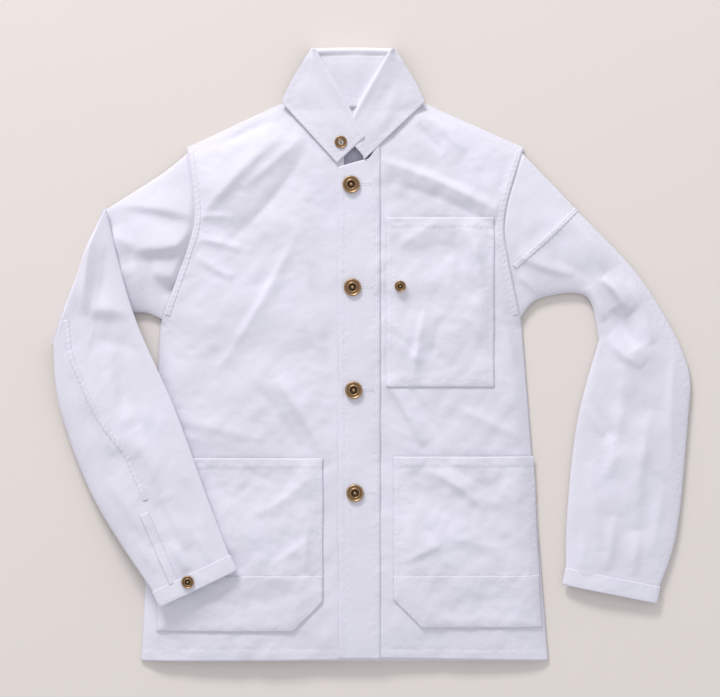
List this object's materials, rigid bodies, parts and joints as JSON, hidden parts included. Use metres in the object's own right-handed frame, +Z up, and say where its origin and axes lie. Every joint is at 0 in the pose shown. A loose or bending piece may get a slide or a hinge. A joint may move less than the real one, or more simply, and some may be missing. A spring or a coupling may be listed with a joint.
{
  "type": "beekeeping jacket",
  "caption": "Buttoned white cotton work jacket with a shirt collar, three patch pockets and long cuffed sleeves, lying flat on its back.",
  "frame": {"origin": "middle of the jacket's footprint, on the surface that it lies on", "axes": "+X towards the wearer's left sleeve, +Y towards the collar, +Z up through the front"},
  "size_m": [0.8624, 0.831, 0.0388],
  "materials": {
    "cotton_twill": "bleached cotton twill, matte",
    "cotton_tape": "woven tape and sewing thread",
    "antique_brass": "antiqued, worn bright on the rims",
    "nail_steel": "satin"
  },
  "bodies": {
    "torso": {"back_panel": "cotton_twill", "left_front_panel": "cotton_twill", "right_front_panel": "cotton_twill", "button_stand": "cotton_twill", "left_side_seam": "cotton_twill", "right_side_seam": "cotton_twill", "left_shoulder_seam": "cotton_twill", "right_shoulder_seam": "cotton_twill", "chest_pocket": "cotton_twill", "chest_pocket_hem": "cotton_twill", "left_lower_pocket": "cotton_twill", "left_lower_pocket_hem": "cotton_twill", "left_pocket_reinforcement": "cotton_twill", "right_lower_pocket": "cotton_twill", "right_lower_pocket_hem": "cotton_twill", "right_pocket_reinforcement": "cotton_twill", "collar_stand": "cotton_twill", "collar_back_fold": "cotton_twill", "neck_label": "cotton_tape", "chest_pocket_tack": "nail_steel", "front_1_tack": "nail_steel", "front_2_tack": "nail_steel", "front_3_tack": "nail_steel", "front_4_tack": "nail_steel"},
    "placket": {"placket_band": "cotton_twill"},
    "right_collar": {"right_collar_leaf": "cotton_twill", "collar_tack": "nail_steel"},
    "left_collar": {"left_collar_leaf": "cotton_twill"},
    "left_upper_sleeve": {"left_upper_sleeve_top": "cotton_twill", "left_upper_sleeve_under": "cotton_twill", "left_upper_sleeve_back_seam": "cotton_twill", "left_upper_sleeve_front_seam": "cotton_twill"},
    "left_lower_sleeve": {"left_lower_sleeve_top": "cotton_twill", "left_lower_sleeve_under": "cotton_twill", "left_lower_sleeve_back_seam": "cotton_twill", "left_lower_sleeve_front_seam": "cotton_twill", "left_cuff": "cotton_twill", "left_cuff_tack": "nail_steel", "left_vent_placket": "cotton_twill"},
    "right_upper_sleeve": {"right_upper_sleeve_top": "cotton_twill", "right_upper_sleeve_under": "cotton_twill", "right_upper_sleeve_back_seam": "cotton_twill", "right_upper_sleeve_front_seam": "cotton_twill"},
    "right_lower_sleeve": {"right_lower_sleeve_top": "cotton_twill", "right_lower_sleeve_under": "cotton_twill", "right_lower_sleeve_back_seam": "cotton_twill", "right_lower_sleeve_front_seam": "cotton_twill", "right_cuff": "cotton_twill", "right_cuff_tack": "nail_steel", "right_vent_placket": "cotton_twill"},
    "front_1_button": {"front_1_button": "antique_brass"},
    "front_2_button": {"front_2_button": "antique_brass"},
    "front_3_button": {"front_3_button": "antique_brass"},
    "front_4_button": {"front_4_button": "antique_brass"},
    "chest_pocket_button": {"chest_pocket_button": "antique_brass"},
    "collar_button": {"collar_button": "antique_brass"},
    "left_cuff_button": {"left_cuff_button": "antique_brass"},
    "right_cuff_button": {"right_cuff_button": "antique_brass"}
  },
  "joints": [
    {"name": "placket_fold", "type": "hinge", "parent": "torso", "child": "placket", "pos_m": [0.01033, -0.0795, 0.0192], "axis": [0, 1, 0], "range_deg": [0, 135]},
    {"name": "right_collar_lift", "type": "hinge", "parent": "torso", "child": "right_collar", "pos_m": [-0.01327, 0.292, 0.0195], "axis": [-0.4745, 0.8803, 0], "range_deg": [0, 45]},
    {"name": "left_collar_lift", "type": "hinge", "parent": "torso", "child": "left_collar", "pos_m": [-0.02647, 0.318, 0.0195], "axis": [-0.4761, -0.8794, 0], "range_deg": [0, 45]},
    {"name": "left_shoulder_swing", "type": "hinge", "parent": "torso", "child": "left_upper_sleeve", "pos_m": [0.18023, 0.2045, 0.01], "axis": [0, 0, 1], "range_deg": [0, 20]},
    {"name": "right_shoulder_swing", "type": "hinge", "parent": "torso", "child": "right_upper_sleeve", "pos_m": [-0.24077, 0.2045, 0.01], "axis": [0, 0, -1], "range_deg": [0, 20]},
    {"name": "left_elbow_fold", "type": "hinge", "parent": "left_upper_sleeve", "child": "left_lower_sleeve", "pos_m": [0.36023, 0.02, 0.0195], "axis": [-1, 0, 0], "range_deg": [0, 170]},
    {"name": "right_elbow_unfold", "type": "hinge", "parent": "right_upper_sleeve", "child": "right_lower_sleeve", "pos_m": [-0.39577, 0.105, 0.0195], "axis": [-0.3566, -0.9342, 0], "range_deg": [0, 180]},
    {"name": "front_1_button_turn", "type": "hinge", "parent": "torso", "child": "front_1_button", "pos_m": [-0.02927, 0.23, 0.0219], "axis": [0, 0, 1], "continuous": true},
    {"name": "front_2_button_turn", "type": "hinge", "parent": "torso", "child": "front_2_button", "pos_m": [-0.02757, 0.0913, 0.0219], "axis": [0, 0, 1], "continuous": true},
    {"name": "front_3_button_turn", "type": "hinge", "parent": "torso", "child": "front_3_button", "pos_m": [-0.02587, -0.0474, 0.0219], "axis": [0, 0, 1], "continuous": true},
    {"name": "front_4_button_turn", "type": "hinge", "parent": "torso", "child": "front_4_button", "pos_m": [-0.02417, -0.1861, 0.0219], "axis": [0, 0, 1], "continuous": true},
    {"name": "chest_pocket_button_turn", "type": "hinge", "parent": "torso", "child": "chest_pocket_button", "pos_m": [0.03673, 0.0925, 0.02491], "axis": [0, 0, 1], "continuous": true},
    {"name": "collar_button_turn", "type": "hinge", "parent": "right_collar", "child": "collar_button", "pos_m": [-0.04327, 0.287, 0.02201], "axis": [0, 0, 1], "continuous": true},
    {"name": "left_cuff_button_turn", "type": "hinge", "parent": "left_lower_sleeve", "child": "left_cuff_button", "pos_m": [0.33949, -0.3124, 0.00239], "axis": [0, 0, 1], "continuous": true},
    {"name": "right_cuff_button_turn", "type": "hinge", "parent": "right_lower_sleeve", "child": "right_cuff_button", "pos_m": [-0.24814, -0.30386, 0.03661], "axis": [0, 0, 1], "continuous": true}
  ]
}
